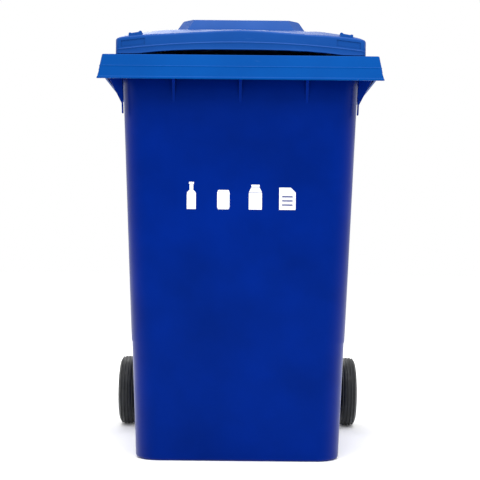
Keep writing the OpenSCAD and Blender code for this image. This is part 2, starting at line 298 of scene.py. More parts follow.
    def modify(self, kind: str, **settings: object) -> "Piece":
        """Adds a modifier and applies it.

        Args:
            kind: The modifier's type.
            **settings: Its settings.

        Returns:
            This piece.
        """
        clear_selection()
        bpy.context.view_layer.objects.active = self.obj
        self.obj.select_set(True)
        modifier = self.obj.modifiers.new(kind.lower(), kind)
        for key, value in settings.items():
            setattr(modifier, key, value)
        bpy.ops.object.modifier_apply(modifier=modifier.name)
        return self

    def cut(self, *tools: "Piece") -> "Piece":
        """Cuts other pieces out of this one and throws them away."""
        for tool in tools:
            self.modify("BOOLEAN", operation="DIFFERENCE", solver="EXACT", object=tool.obj)
            bpy.data.objects.remove(tool.obj)
        return self

    def join(self, *others: "Piece") -> "Piece":
        """Fuses other pieces into this one."""
        for other in others:
            self.modify("BOOLEAN", operation="UNION", solver="EXACT", object=other.obj)
            bpy.data.objects.remove(other.obj)
        return self

    def absorb(self, *others: "Piece") -> "Piece":
        """Takes separate copies into this piece's mesh."""
        clear_selection()
        for piece in (*others, self):
            piece.obj.select_set(True)
        bpy.context.view_layer.objects.active = self.obj
        bpy.ops.object.join()
        return self

    def soften(self, width: float, segments: int = 2, angle: float = 32) -> "Piece":
        """Rounds every sharp edge a little, as a mould leaves it.

        Args:
            width: The rounding's reach, in mm.
            segments: How many facets it gets.
            angle: The sharpest angle that stays as it is, in degrees.

        Returns:
            This piece.
        """
        return self.modify(
            "BEVEL",
            width=width * MM,
            segments=segments,
            limit_method="ANGLE",
            angle_limit=math.radians(angle),
            use_clamp_overlap=True,
        )

    def mirrored(self, name: str) -> "Piece":
        """Copies this piece to the other side of the bin.

        Args:
            name: The copy's name.

        Returns:
            The copy, with a mesh of its own.
        """
        clear_selection()
        twin = self.obj.copy()
        twin.data = self.obj.data.copy()
        bpy.context.scene.collection.objects.link(twin)
        twin.data.transform(Matrix.Scale(-1, 4, Axis.X.value))
        twin.data.flip_normals()
        piece = Piece.__new__(Piece)
        piece.obj = twin
        twin.name = twin.data.name = name
        return piece

    def place(self, finish: "Finish", body: Body, slot: str, *nodes: str, smooth: float = 38) -> None:
        """Dresses the piece and hangs it on its body.

        Args:
            finish: What it is made of.
            body: The body that it moves with.
            slot: The record's material slot; not used.
            *nodes: The frame's nodes that it stands for.
            smooth: Edges under this angle, in degrees, are shaded smooth.
        """
        clear_selection()
        self.obj.select_set(True)
        bpy.context.view_layer.objects.active = self.obj
        bpy.ops.object.shade_smooth_by_angle(angle=math.radians(smooth))
        self.obj.data.materials.clear()
        self.obj.data.materials.append(finish.material())
        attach(self.obj, body.value)
        if nodes:
            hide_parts(*nodes)
        LOG.info("%s: %d faces, on %s", self.obj.name, len(self.obj.data.polygons), body.value)


def everything(place: Vector, normal: Vector) -> bool:
    """Passes all there is."""
    return True


def upright(place: Vector, direction: Vector) -> bool:
    """Passes edges that run up and down."""
    return abs(direction.z) > 0.9


def arc(centre: Point, radius: float, start: float, end: float, steps: int = 12) -> list[Point]:
    """Points along a circular arc.

    Args:
        centre: The arc's centre.
        radius: Its radius.
        start: Its first angle, in degrees.
        end: Its last angle.
        steps: How many chords it gets.

    Returns:
        The points, both ends included.
    """
    angles = (math.radians(start + (end - start) * i / steps) for i in range(steps + 1))
    return [(centre[0] + radius * math.cos(a), centre[1] + radius * math.sin(a)) for a in angles]


# ---------------------------------------------------------------- finishes


def linear(colour: str) -> tuple[float, float, float, float]:
    """Turns an sRGB hex value into linear RGBA."""
    channels = (int(colour[i : i + 2], 16) / 255 for i in (1, 3, 5))
    return (*(c / 12.92 if c <= 0.04045 else ((c + 0.055) / 1.055) ** 2.4 for c in channels), 1.0)


def add_node(
    tree: bpy.types.NodeTree, kind: str, links: dict[str, object] | None = None, **settings: object
) -> bpy.types.Node:
    """Adds one shader node.

    Args:
        tree: The material's node tree.
        kind: The node's type.
        links: Input name to a value, or to the output socket that feeds it.
        **settings: The node's own settings.

    Returns:
        The node.
    """
    node = tree.nodes.new(kind)
    for key, value in settings.items():
        setattr(node, key, value)
    for key, value in (links or {}).items():
        socket = node.inputs[int(key)] if key.isdigit() else node.inputs[key]
        if isinstance(value, bpy.types.NodeSocket):
            tree.links.new(value, socket)
        else:
            socket.default_value = value
    return node


@dataclass(frozen=True)
class Finish:
    """A material that is built once and shared."""

    name: str

    def material(self) -> bpy.types.Material:
        """Finds the material, or builds it."""
        found = bpy.data.materials.get(self.name)
        if found is not None:
            return found
        made = bpy.data.materials.new(self.name)
        made.use_nodes = True
        made.node_tree.nodes.clear()
        shader = add_node(made.node_tree, "ShaderNodeBsdfPrincipled")
        add_node(made.node_tree, "ShaderNodeOutputMaterial", {"Surface": shader.outputs["BSDF"]})
        self.dress(made.node_tree, shader)
        return made

    def dress(self, tree: bpy.types.NodeTree, shader: bpy.types.Node) -> None:
        """Fills in the shader; each finish has its own way."""
        raise NotImplementedError


def noise(
    tree: bpy.types.NodeTree, grain: float, detail: float = 2.0, stretch: Sequence[float] = (1, 1, 1)
) -> bpy.types.NodeSocket:
    """A noise whose blotches have a real size.

    Args:
        tree: The material's node tree.
        grain: Size of a blotch, in mm.
        detail: How many finer layers it carries.
        stretch: How much finer it is along X, Y and Z.

    Returns:
        The noise's value.
    """
    where = add_node(tree, "ShaderNodeTexCoord").outputs["Object"]
    mapped = add_node(tree, "ShaderNodeMapping", {"Vector": where, "Scale": stretch})
    made = add_node(
        tree,
        "ShaderNodeTexNoise",
        {"Vector": mapped.outputs["Vector"], "Scale": 1 / (grain * MM), "Detail": detail},
    )
    return made.outputs["Fac"]


def spread(
    tree: bpy.types.NodeTree,
    value: bpy.types.NodeSocket,
    low: float,
    high: float,
    band: tuple[float, float] = (0.3, 0.7),
) -> bpy.types.NodeSocket:
    """Spreads a band of a noise over a range.

    Args:
        tree: The material's node tree.
        value: The noise.
        low: What the band's start, and all below it, becomes.
        high: What the band's end, and all above it, becomes.
        band: The part of the noise that is spread; the middle by default.

    Returns:
        The spread value.
    """
    links = {"Value": value, "From Min": band[0], "From Max": band[1], "To Min": low, "To Max": high}
    return add_node(tree, "ShaderNodeMapRange", links).outputs["Result"]


def blend(
    tree: bpy.types.NodeTree, factor: bpy.types.NodeSocket, first: object, second: object
) -> bpy.types.NodeSocket:
    """Mixes two colours.

    Args:
        tree: The material's node tree.
        factor: How much of the second colour there is, from 0 to 1.
        first: A colour, or the socket that feeds it.
        second: The other one.

    Returns:
        The mixed colour.
    """
    # the mix node's colour inputs and output have only their numbers to tell them from its other kinds
    made = add_node(tree, "ShaderNodeMix", {"0": factor, "6": first, "7": second}, data_type="RGBA")
    return made.outputs[2]


def bump(
    tree: bpy.types.NodeTree,
    height: bpy.types.NodeSocket,
    depth: float,
    strength: float,
    under: bpy.types.NodeSocket | None = None,
) -> bpy.types.NodeSocket:
    """Turns a height into a surface normal.

    Args:
        tree: The material's node tree.
        height: The height, from 0 to 1.
        depth: What a height of 1 means, in mm.
        strength: How much of it shows.
        under: A normal that it lies on.

    Returns:
        The normal.
    """
    links: dict[str, object] = {"Height": height, "Distance": depth * MM, "Strength": strength}
    if under is not None:
        links["Normal"] = under
    return add_node(tree, "ShaderNodeBump", links).outputs["Normal"]


@dataclass(frozen=True)
class MouldedPlastic(Finish):
    """Injection-moulded polyethylene, dyed in the mass.

    It has a satin gloss, a fine eggshell grain from the mould, and a slow waviness where the wall shrank.
    """

    light: str = "#0a5fc0"
    dark: str = "#004fa8"
    gloss: tuple[float, float] = (0.34, 0.44)
    wave: float = 0.7
    sheen: str = "#5c8fe0"
    reflect: float = 0.5
    scuff: str = "#5f86c4"

    def dress(self, tree: bpy.types.NodeTree, shader: bpy.types.Node) -> None:
        """Sets colour, gloss, grain and waviness."""
        cloud = noise(tree, 150, 3)
        colour = blend(tree, spread(tree, cloud, 0.0, 1.0), linear(self.dark), linear(self.light))
        # scuffs: short pale rubs, about 3 mm wide and 25 mm long
        scuff = noise(tree, 25, 4, (1.0, 1.0, 8.0))
        rubbed = spread(tree, scuff, 0.0, 0.1, (0.66, 0.8))
        colour = blend(tree, rubbed, colour, linear(self.scuff))
        tree.links.new(colour, shader.inputs["Base Color"])
        rough = spread(tree, noise(tree, 60, 4), *self.gloss)
        tree.links.new(rough, shader.inputs["Roughness"])
        shader.inputs["IOR"].default_value = 1.5
        shader.inputs["Specular IOR Level"].default_value = self.reflect
        shader.inputs["Specular Tint"].default_value = linear(self.sheen)
        # the real grain is about 0.4 mm, too fine to show, so it is drawn at 1.6 mm
        slow = bump(tree, noise(tree, 110, 1), self.wave, 0.8)
        fine = bump(tree, noise(tree, 1.6, 2), 0.05, 0.35, slow)
        tree.links.new(fine, shader.inputs["Normal"])


@dataclass(frozen=True)
class SolidRubber(Finish):
    """Vulcanised black rubber, greyed by dust and faintly mould-marked."""

    base: str = "#070a0d"
    dust: str = "#1a2026"

    def dress(self, tree: bpy.types.NodeTree, shader: bpy.types.Node) -> None:
        """Sets colour, dull gloss and a coarse skin."""
        factor = spread(tree, noise(tree, 18, 5), 0.0, 0.5)
        tree.links.new(blend(tree, factor, linear(self.base), linear(self.dust)), shader.inputs["Base Color"])
        tree.links.new(spread(tree, noise(tree, 12, 3), 0.42, 0.62), shader.inputs["Roughness"])
        tree.links.new(bump(tree, noise(tree, 1.4, 3), 0.15, 0.5), shader.inputs["Normal"])


@dataclass(frozen=True)
class PlatedSteel(Finish):
    """Zinc-plated bright steel, with drawing lines round or along it."""

    light: str = "#c3c7cb"
    dark: str = "#92979d"

    def dress(self, tree: bpy.types.NodeTree, shader: bpy.types.Node) -> None:
        """Sets a metal with fine lines and cloudy plating."""
        lines = noise(tree, 4, 3, (0.2, 4.0, 4.0))
        colour = blend(tree, spread(tree, lines, 0.0, 1.0), linear(self.dark), linear(self.light))
        tree.links.new(colour, shader.inputs["Base Color"])
        shader.inputs["Metallic"].default_value = 1.0
        tree.links.new(spread(tree, noise(tree, 9, 3), 0.25, 0.45), shader.inputs["Roughness"])
        tree.links.new(bump(tree, lines, 0.05, 0.3), shader.inputs["Normal"])


@dataclass(frozen=True)
class StampedFoil(Finish):
    """White pigment foil, hot-stamped into the plastic, thin in places."""

    base: str = "#f4f6f8"
    worn: str = "#c9d4e6"

    def dress(self, tree: bpy.types.NodeTree, shader: bpy.types.Node) -> None:
        """Sets a white with faint worn specks."""
        factor = spread(tree, noise(tree, 3, 4), 0.0, 0.7, (0.58, 0.72))
        colour = blend(tree, factor, linear(self.base), linear(self.worn))
        tree.links.new(colour, shader.inputs["Base Color"])
        shader.inputs["Roughness"].default_value = 0.45
        tree.links.new(bump(tree, noise(tree, 1.6, 2), 0.04, 0.3), shader.inputs["Normal"])


@dataclass(frozen=True)
class StudioPaper(Finish):
    """Plain pale paper under the bin, with a faint glow that hides where it ends."""

    base: str = "#fbfbfb"
    glow: float = 0.05

    def dress(self, tree: bpy.types.NodeTree, shader: bpy.types.Node) -> None:
        """Sets a matt white."""
        shader.inputs["Base Color"].default_value = linear(self.base)
        shader.inputs["Roughness"].default_value = 0.9
        shader.inputs["Specular IOR Level"].default_value = 0.0
        shader.inputs["Emission Color"].default_value = linear(self.base)
        shader.inputs["Emission Strength"].default_value = self.glow


# one blue plastic in three copies: the tub's copy is darker, as painted shade, and the rim's and the lid's
# are brighter, as painted light
SHADED_TUB_PLASTIC = MouldedPlastic(
    "moulded_plastic_navy_painted_shade",
    light="#001e78",
    dark="#001969",
    gloss=(0.28, 0.38),
    sheen="#3f72d0",
    reflect=0.25,
    scuff="#12368c",
)
LIT_RIM_PLASTIC = MouldedPlastic(
    "moulded_plastic_rim_painted_light", light="#00458f", dark="#003f86", gloss=(0.5, 0.6), sheen="#3f7ce0", reflect=0.3
)
LIT_LID_PLASTIC = MouldedPlastic(
    "moulded_plastic_lid_painted_light", light="#083f87", dark="#04397e", gloss=(0.44, 0.54), sheen="#6a98e4"
)
BLACK_PLASTIC = MouldedPlastic(
    "moulded_plastic_black", light="#1e2126", dark="#15171b", wave=0.2, sheen="#c8ccd2", scuff="#4a4d52"
)
TYRE_RUBBER = SolidRubber("solid_rubber_tyre")
STOP_RUBBER = SolidRubber("moulded_rubber_stop", base="#141416", dust="#26282b")
STEEL = PlatedSteel("zinc_plated_steel")
SPRING_STEEL = PlatedSteel("blued_spring_steel", light="#9aa0a8", dark="#6b7078")
FOIL = StampedFoil("white_stamped_foil")
PAPER = StudioPaper("studio_paper")

# ---------------------------------------------------------------- places


@dataclass(frozen=True)
class Extent:
    """The lowest and highest corners of some of the frame's nodes, in mm."""

    low: Vector
    high: Vector

    @classmethod
    def of(cls, *nodes: str) -> "Extent":
        """Measures the box that holds the named nodes."""
        boxes = [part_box(node) for node in nodes]
        low = Vector([min(box[0][i] for box in boxes) for i in range(3)])
        high = Vector([max(box[1][i] for box in boxes) for i in range(3)])
        return cls(low / MM, high / MM)

    @property
    def middle(self) -> Vector:
        """The box's centre."""
        return (self.low + self.high) / 2

    @property
    def size(self) -> Vector:
        """The box's sides."""
        return self.high - self.low


def rounded(
    name: str, low: Sequence[float], high: Sequence[float], radius: float, segments: int
) -> Piece:
    """A block whose upright edges are rounded.

    Args:
        name: The piece's name.
        low: Lowest corner, in mm.
        high: Highest corner, in mm.
        radius: The rounding's radius, in mm.
        segments: How many facets it gets.

    Returns:
        The new piece.
    """
    return Piece.block(name, low, high).bevel(upright, radius, segments)


def at(axis: Axis, place: float, reach: float = 0.5) -> Test:
    """A test for what lies within reach of a place along an axis."""
    direction = Vector(axis.value)
    return lambda p, n: abs(p.dot(direction) - place) < reach


def between(table: Sequence[Point], place: float) -> float:
    """Reads a table of rising places and their values, with straight lines between them."""
    for (a, low), (b, high) in zip(table, table[1:]):
        if place <= b:
            return low + (high - low) * (place - a) / (b - a)
    return table[-1][1]


# ---------------------------------------------------------------- the bin's body


@dataclass
class Tub:
    """The tapered container, open at the top, on a narrow foot."""

    wall: float = 4
    corner: float = 60
    foot_h: float = 6
    foot_inset: float = 4
    side_lean: float = 39
    front_lean: float = 33
    rear_lean: float = 140
    step_z: float = 288
    step: float = 1.4

    def __post_init__(self) -> None:
        """Takes the tub's place from the frame."""
        self.box = Extent.of("tub")

    def share(self, z: float) -> float:
        """How far up the walls a height is, from 0 at the foot to 1."""
        return (z - self.foot_h) / (self.box.high.z - self.foot_h)

    def front(self, z: float) -> float:
        """Place of the front wall at a height."""
        return self.box.low.y + self.front_lean * (1 - self.share(z))

    def rear(self, z: float) -> float:
        """Place of the rear wall at a height."""
        return self.box.high.y - self.rear_lean * (1 - self.share(z))

    def side(self, z: float) -> float:
        """Place of the right wall at a height."""
        return self.box.high.x - self.side_lean * (1 - self.share(z))

    def build(self) -> None:
        """Models the tub and dresses it."""
        low, high = self.box.low, self.box.high
        tub = Piece.block("tub_shell", low, high)
        shrink_x = self.side(0) / high.x
        shrink_y = (self.rear(0) - self.front(0)) / self.box.size.y
        fixed_y = (self.front(0) - shrink_y * low.y) / (1 - shrink_y)
        tub.stretch(at(Axis.Z, low.z), (shrink_x, shrink_y, 1), (0, fixed_y, low.z))
        tub.bevel(upright, self.corner, 12)
        tub.slice(Axis.Z, (self.foot_h, self.step_z, self.step_z + 5))
        middle = ((self.front(0) + self.rear(0)) / 2, self.side(0))
        # the foot is set in, and the lower panel steps in a little under a faint ledge
        foot = (1 - self.foot_inset / middle[1], 1 - self.foot_inset / (self.rear(0) - middle[0]), 1)
        tub.stretch(at(Axis.Z, low.z), foot, (0, middle[0], low.z))
        below = (1 - self.step / middle[1], 1 - self.step / (self.rear(0) - middle[0]), 1)
        tub.stretch(lambda p, n: p.z < self.step_z + 1, below, (0, middle[0], low.z))
        tub.soften(2, 2, 22)
        tub.pick(Pick.FACES, lambda p, n: p.z > high.z - 1)
        bpy.ops.mesh.delete(type="FACE")
        tub.modify("SOLIDIFY", thickness=self.wall * MM, offset=-1, use_even_offset=True)
        nodes = sorted(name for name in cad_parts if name.startswith("tub"))
        tub.place(SHADED_TUB_PLASTIC, Body.BIN, "body_plastic", *nodes, smooth=24)


@dataclass
class CombRim:
    """The band round the tub's mouth, with the ribs and gussets that carry it."""

    tub: Tub
    wall: float = 4
    skirt_h: float = 60
    side_skirt_h: float = 40
    flare: float = 11
    corner: float = 5
    set_in: float = 0.9
    rib_t: float = 8
    rib_pitch: float = 162
    rib_drop: float = 53
    fin: float = 2
    fin_drops: Point = (76, 51)
    gussets: int = 3
    gusset_ends: Point = (25, 33)
    lug_half: float = 268

    def __post_init__(self) -> None:
        """Takes the rim's place from the frame."""
        self.box = Extent.of("comb_rim")
        self.top = self.box.high.z
        self.low = self.top - self.skirt_h

    def flared(self, name: str, inset: float, low: float, high: float) -> Piece:
        """The band's outer shape, or its hollow when set in.

        Args:
            name: The piece's name.
            inset: How far it is set in.
            low: Its lowest height.
            high: Its highest height.

        Returns:
            The solid shape.
        """
        half, front, rear = self.box.high.x - inset, self.box.low.y + inset, self.box.high.y - inset
        piece = Piece.block(name, (-half, front, low), (half, rear, high))
        lean = self.flare * (high - low) / self.skirt_h
        factors = ((half - lean) / half, 1 - lean / (rear - front), 1)
        piece.stretch(at(Axis.Z, high), factors, (0, rear, high))
        return piece.bevel(upright, max(self.corner - inset, 2), 4)

    def band(self) -> Piece:
        """The band itself: a flat flange and a flared skirt with a ridge and a lip."""
        band = self.flared("comb_band", 0, self.low, self.top)
        ridge = self.low + self.skirt_h / 2 + 1
        rows = (self.low + 4, self.low + 6, ridge - 2, ridge, ridge + 1.5)
        band.slice(Axis.Z, rows)
        middle = self.box.middle
        inner = (1 - self.set_in / (self.box.size.x / 2), 1 - self.set_in / (self.box.size.y / 2), 1)
        for row in (rows[1], rows[2], rows[4], self.top):
            band.stretch(at(Axis.Z, row), inner, (0, middle.y, row))
        band.soften(1.8, 2, 60)
        band.cut(self.flared("skirt_hollow", self.wall + self.set_in, self.low - 4, self.top - self.wall))
        band.cut(self.mouth(), self.side_cut(), self.hand_cut())
        return band

    def mouth(self) -> Piece:
        """The tub's mouth, as a cutter through the flange."""
        box, wall = self.tub.box, self.tub.wall
        low = (box.low.x + wall, box.low.y + wall, self.top - 20)
        high = (box.high.x - wall, box.high.y - wall, self.top + 20)
        return rounded("mouth_cut", low, high, self.tub.corner - wall, 12)

    def side_cut(self) -> Piece:
        """What the shorter side skirts leave out."""
        far = self.box.high.x + 40
        low = (-far, self.box.low.y + self.wall + self.set_in + 1, self.low - 20)
        return Piece.block("side_cut", low, (far, self.box.high.y + 40, self.top - self.side_skirt_h))

    def hand_cut(self) -> Piece:
        """What is left out of the skirt behind, where the hands go."""
        low = (-self.lug_half, self.tub.box.high.y - 30, self.low - 30)
        return Piece.block("hand_cut", low, (self.lug_half, self.box.high.y + 40, self.top - self.wall))

    def rib(self, x: float) -> Piece:
        """One upright rib between the tub's front wall and the skirt."""
        wall, low, top = self.tub.front, self.low, self.top
        skirt = self.box.low.y + self.wall
        outline = (
            (wall(low - self.rib_drop) + 1, low - self.rib_drop),
            (wall(low) - 10, low - 2),
            (skirt, low + 10),
            (skirt + self.flare, top - 2),
            (wall(top) + 2, top - 2),
            (wall(low) + 2, low),
        )
        return Piece.plate("comb_ribs", outline, Axis.X, x - self.rib_t / 2, x + self.rib_t / 2).soften(1.6)

    def gusset(self, y: float) -> Piece:
        """One plate between the tub's right wall and the rim."""
        side, low, top = self.tub.side, self.low, self.top
        far = self.box.high.x - self.flare - 2
        fin = (low - self.fin_drops[0], low - self.fin_drops[1])
        outline = (
            (side(fin[0]) - 2, fin[0]),
            (side(fin[0]) + self.fin, fin[0]),
            (side(fin[1]) + self.fin, fin[1]),
            (side(low) + 26, low),
            (far, top - self.side_skirt_h + 6),
            (far, top - 2),
            (side(top) - 2, top - 2),
        )
        return Piece.plate("side_gusset", outline, Axis.Y, y - self.rib_t / 2, y + self.rib_t / 2).soften(1.6)

    def build(self) -> None:
        """Models the band, and the ribs and gussets under it, and dresses both."""
        ribs = self.rib(-self.rib_pitch)
        ribs.absorb(self.rib(0), self.rib(self.rib_pitch))
        pitch = (self.tub.box.size.y - sum(self.gusset_ends)) / self.gussets
        for i in range(self.gussets):
            gusset = self.gusset(self.tub.box.low.y + self.gusset_ends[0] + i * pitch)
            ribs.absorb(gusset, gusset.mirrored("side_gusset_twin"))
        # they take the tub's darker navy copy as painted shade under the band, though they are moulded with
        # it; the band's brighter copy is painted light
        ribs.place(SHADED_TUB_PLASTIC, Body.BIN, "body_plastic", smooth=30)
        self.band().place(LIT_RIM_PLASTIC, Body.BIN, "rim_plastic", "comb_rim", smooth=20)


@dataclass
class RearHandle:
    """The hinge lugs, and the two grips between them."""

    tub: Tub
    eye: float = 22
    lug_w: float = 18
    bracket_w: float = 24
    groove_pitch: float = 11
    groove: float = 1.1
    bore: float = 8.05

    def __post_init__(self) -> None:
        """Takes the hinge line and the lugs' places from the frame."""
        self.box = Extent.of("rear_handle")
        self.outer = Extent.of("hinge_lug_right")
        self.y = self.outer.high.y - self.eye
        self.z = self.outer.high.z - self.eye
        self.grip = Extent.of("lid").high.y - self.y - 3

    def lug(self, name: str, start: float, end: float) -> Piece:
        """An eye on an arm from the tub's rear wall.

        Args:
            name: The piece's name.
            start: Its low-X face.
            end: Its high-X face.

        Returns:
            The lug.
        """
        wall, top, foot = self.tub.rear, self.tub.box.high.z - 2, self.outer.low.z
        outline = arc((self.y, self.z), self.eye, -50, 205, 24)
        outline += [(self.y - self.eye + 2, top), (wall(top) - 2, top), (wall(foot) - 2, foot)]
        return Piece.plate(name, outline, Axis.X, start, end).soften(2.2, 3, 40)

    def grips(self) -> Piece:
        """Two grips in one rod, with shallow grooves for the fingers."""
        half = self.box.high.x - self.lug_w
        rod = Piece.rod("grip_rod", self.grip, (-half - 1, self.y, self.z), 2 * half + 2)
        first = self.bracket_w / 2 + 16
        count = int((half - first - 10) / self.groove_pitch)
        places = [sign * (first + i * self.groove_pitch) for i in range(count) for sign in (-1, 1)]
        rod.slice(Axis.X, [x + d for x in places for d in (-2, 0, 2)])
        factor = 1 - self.groove / self.grip
        for x in places:
            rod.stretch(at(Axis.X, x), (1, factor, factor), (x, self.y, self.z))
        return rod

    def build(self) -> None:
        """Models the handle and the outer lugs, and dresses them."""
        high = self.box.high.x
        handle = self.lug("handle_and_lugs", high - self.lug_w, high)
        twin = handle.mirrored("inner_lug_twin")
        bracket = self.lug("handle_bracket", -self.bracket_w / 2, self.bracket_w / 2)
        handle.join(twin, bracket, self.grips())
        blind = high - self.lug_w + 3
        for start in (blind, -high - 5):
            handle.cut(Piece.rod("blind_bore", self.bore, (start, self.y, self.z), high + 5 - blind))
        handle.place(SHADED_TUB_PLASTIC, Body.BIN, "body_plastic", "rear_handle", smooth=30)
        right = self.lug("outer_lug_right", self.outer.low.x, self.outer.high.x)
        right.cut(Piece.rod("lug_bore", self.bore, (self.outer.low.x - 5, self.y, self.z), 40))
        left = right.mirrored("outer_lug_left")
        right.place(SHADED_TUB_PLASTIC, Body.BIN, "body_plastic", "hinge_lug_right", smooth=30)
        left.place(SHADED_TUB_PLASTIC, Body.BIN, "body_plastic", "hinge_lug_left", smooth=30)


@dataclass
class AxleHousings:
    """The ribbed housings that carry the axle's ends under the tub's rear wall."""

    tub: Tub
    eye: float = 24
    core: float = 5
    plate_t: float = 9
    bore: float = 11.05

    def __post_init__(self) -> None:
        """Takes the housing's place and the axle's from the frame."""
        self.box = Extent.of("axle_housing_right")
        axle = Extent.of("axle").middle
        self.y, self.z = axle.y, axle.z

    def plate(self, name: str, inset: float, start: float, end: float) -> Piece:
        """One plate of the housing; the core between the ribs is set in."""
        wall, top, foot = self.tub.rear, self.box.high.z, self.box.low.z
        outline = arc((self.y, self.z), self.eye - inset, -100, 62, 16)
        outline += [(wall(top - inset) - 2, top - inset), (wall(foot + inset) - 2, foot + inset)]
        return Piece.plate(name, outline, Axis.X, start, end).soften(1.6)

    def build(self) -> None:
        """Models the right housing, mirrors it and dresses both."""
        low, high = self.box.low.x, self.box.high.x
        right = self.plate("housing_right", self.core, low + 2, high - 2)
        middle = (low + high - self.plate_t) / 2
        for start in (low, middle, high - self.plate_t):
            right.join(self.plate("housing_rib", 0, start, start + self.plate_t))
        right.cut(Piece.rod("axle_bore", self.bore, (low - 5, self.y, self.z), high - low + 10))
        left = right.mirrored("housing_left")
        right.place(SHADED_TUB_PLASTIC, Body.BIN, "body_plastic", "axle_housing_right", smooth=30)
        left.place(SHADED_TUB_PLASTIC, Body.BIN, "body_plastic", "axle_housing_left", smooth=30)


# ---------------------------------------------------------------- the lid


@dataclass
class Lid:
    """The crowned lid, with its raised panel, front lip, sunk corner faces, lugs and hinge arms."""

    rim: CombRim
    handle: RearHandle
    wall: float = 4
    gap: float = 3
    corner: float = 12
    edge: float = 5
    front_h: float = 62
    flat_drops: tuple[Point, ...] = ((0, 0), (140, 0), (165, 1), (205, 4.5), (245, 10), (275, 14), (302, 21))
    front_drops: tuple[Point, ...] = (
        (0, 0), (54, 2), (108, 5.5), (165, 9.5), (205, 11.5), (245, 14), (285, 18), (302, 24),
    )
    slope: float = 11.5
    run: float = 92
    rear_slope: float = 9
    rear_drop: float = 30
    hump_half: float = 162
    hump_lean: float = 17
    hump_front_lean: float = 14
    hump_chamfer: float = 26
    hump_rear: float = 38
    hump_fall: Point = (130, 16)
    finger_half: float = 250
    finger_h: float = 12
    ridge_z: float = 1018
    ridge_drop: float = 20
    crease: float = 1.3
    facet: float = 2
    lip_h: float = 5
    pocket_in: float = 71
    pocket_depth: float = 3.8
    lug_ends: Point = (63, 31)
    stop_l: float = 34
    stop_w: float = 11
    knuckle: float = 18
    knuckle_in: float = 200
    knuckle_w: float = 46
    bore: float = 8.05

    def __post_init__(self) -> None:
        """Takes the lid's place from the frame."""
        self.box = Extent.of("lid")
        self.low = self.rim.top + self.gap
        self.rear = self.rim.box.high.y - 2
        self.half = self.box.high.x
        self.front = self.box.low.y
        self.front_top = self.rim.top + self.front_h
        self.top = self.front_top + self.run * math.tan(math.radians(self.slope))

    def lower_rows(self, lid: Piece, axis: int, drop: Callable[[float], float], test: Test) -> None:
        """Lowers each row of vertices by its own amount.

        Args:
            lid: The piece.
            axis: The axis across the rows, from 0 to 2.
            drop: The amount, in mm, from the row's place.
            test: Which vertices take part.
        """
        places = [v.co / MM for v in lid.obj.data.vertices]
        rows = sorted({round(p[axis], 2) for p in places if test(p, p)})
        for row in rows:
            if abs(drop(row)) > 0.01:
                lid.move(lambda p, n, r=row: abs(p[axis] - r) < 0.006 and test(p, n), (0, 0, -drop(row)))

    def form(self) -> Piece:
        """The lid's outside: plan, crown, slopes and raised panel."""
        low, high = (-self.half, self.front, self.low), (self.half, self.rear, self.top)
        lid = rounded("lid_shell", low, high, self.corner, 6)
        lid.bevel(lambda p, d: p.z > self.top - 1, self.edge, 5)
        columns = (54, 108, self.hump_half, 205, 245, 275)
        lid.slice(Axis.X, [sign * x for x in columns for sign in (-1, 1)] + [0])
        front_rise, rear_rise = (math.tan(math.radians(angle)) for angle in (self.slope, self.rear_slope))
        slope_end = self.front + self.run
        rear_start = self.rear - self.rear_drop / rear_rise
        hump_end = self.rear - self.hump_rear
        flat_end = hump_end - self.hump_fall[0]
        lid.slice(Axis.Y, (slope_end, rear_start, flat_end, hump_end))

        def crown(x: float) -> float:
            """How far the top falls away at a place across the lid."""
            return between(self.flat_drops, abs(x))

        def front_extra(x: float) -> float:
            """How much further the front edge falls away there."""
            return between(self.front_drops, abs(x)) - crown(x)

        def fore_and_aft(y: float) -> float:
            """How far the top slopes down at a place from front to back."""
            return max(0.0, slope_end - y) * front_rise + max(0.0, y - rear_start) * rear_rise

        def upper(place: Vector, normal: Vector) -> bool:
            """Passes the top, without the skirt's lower part."""
            return place.z > self.top - self.front_h + 2

        self.lower_rows(lid, 0, front_extra, lambda p, n: upper(p, n) and p.y < self.front + self.corner + 2)
        self.lower_rows(lid, 0, crown, upper)
        self.lower_rows(lid, 1, fore_and_aft, upper)
        self.raise_panel(lid, slope_end, flat_end, hump_end)
        return lid

    def raise_panel(self, lid: Piece, front: float, flat_end: float, rear: float) -> None:
        """Raises the middle panel, flat on top, falling away behind.

        Args:
            lid: The lid's outside.
            front: Where the panel starts.
            flat_end: Where its flat top ends.
            rear: Where it ends.
        """
        peak = self.box.high.z
        inside = self.hump_half - 1
        top_half = self.hump_half - self.hump_lean
        top_front = front + self.hump_front_lean

        def front_upright(place: Vector, direction: Vector) -> bool:
            """Passes the two upright edges at the panel's front corners."""
            in_front = self.top < place.z < peak - 2 and place.y < top_front
            return in_front and abs(place.x) > top_half - 1 and abs(direction.z) > 0.5

        def top_edge(place: Vector, direction: Vector) -> bool:
            """Passes the front and side edges of the panel's top."""
            return place.z > peak - 1 and (abs(abs(place.x) - top_half) < 1 or abs(place.y - top_front) < 1)

        lid.pick(Pick.FACES, lambda p, n: abs(p.x) < inside and front < p.y < rear and n.z > 0.8)
        # the panel is pushed up well clear, then flattened at the right height
        bpy.ops.mesh.extrude_region_move(TRANSFORM_OT_translate={"value": (0, 0, 100 * MM)})
        bpy.ops.object.mode_set(mode="OBJECT")
        lid.stretch(lambda p, n: p.z > peak + 20, (1, 1, 0), (0, 0, peak))
        lid.stretch(at(Axis.Z, peak), (top_half / self.hump_half, 1, 1), (0, 0, peak))
        lid.move(lambda p, n: p.z > peak - 1 and p.y < front + 1, (0, self.hump_front_lean, 0))
        fall = peak - self.top + self.hump_fall[1]
        lid.move(lambda p, n: p.z > peak - 1 and p.y > rear - 1, (0, 0, -fall))
        lid.bevel(front_upright, self.hump_chamfer, 1)
        lid.bevel(top_edge, 4, 3)

    def front_face(self, lid: Piece) -> None:
        """Shapes the front: a ridge, a lip under it, and the arch for the fingers."""
        over, under, lip = self.ridge_z + 2, self.ridge_z - 3, self.low + self.lip_h
        reach = self.front + self.corner

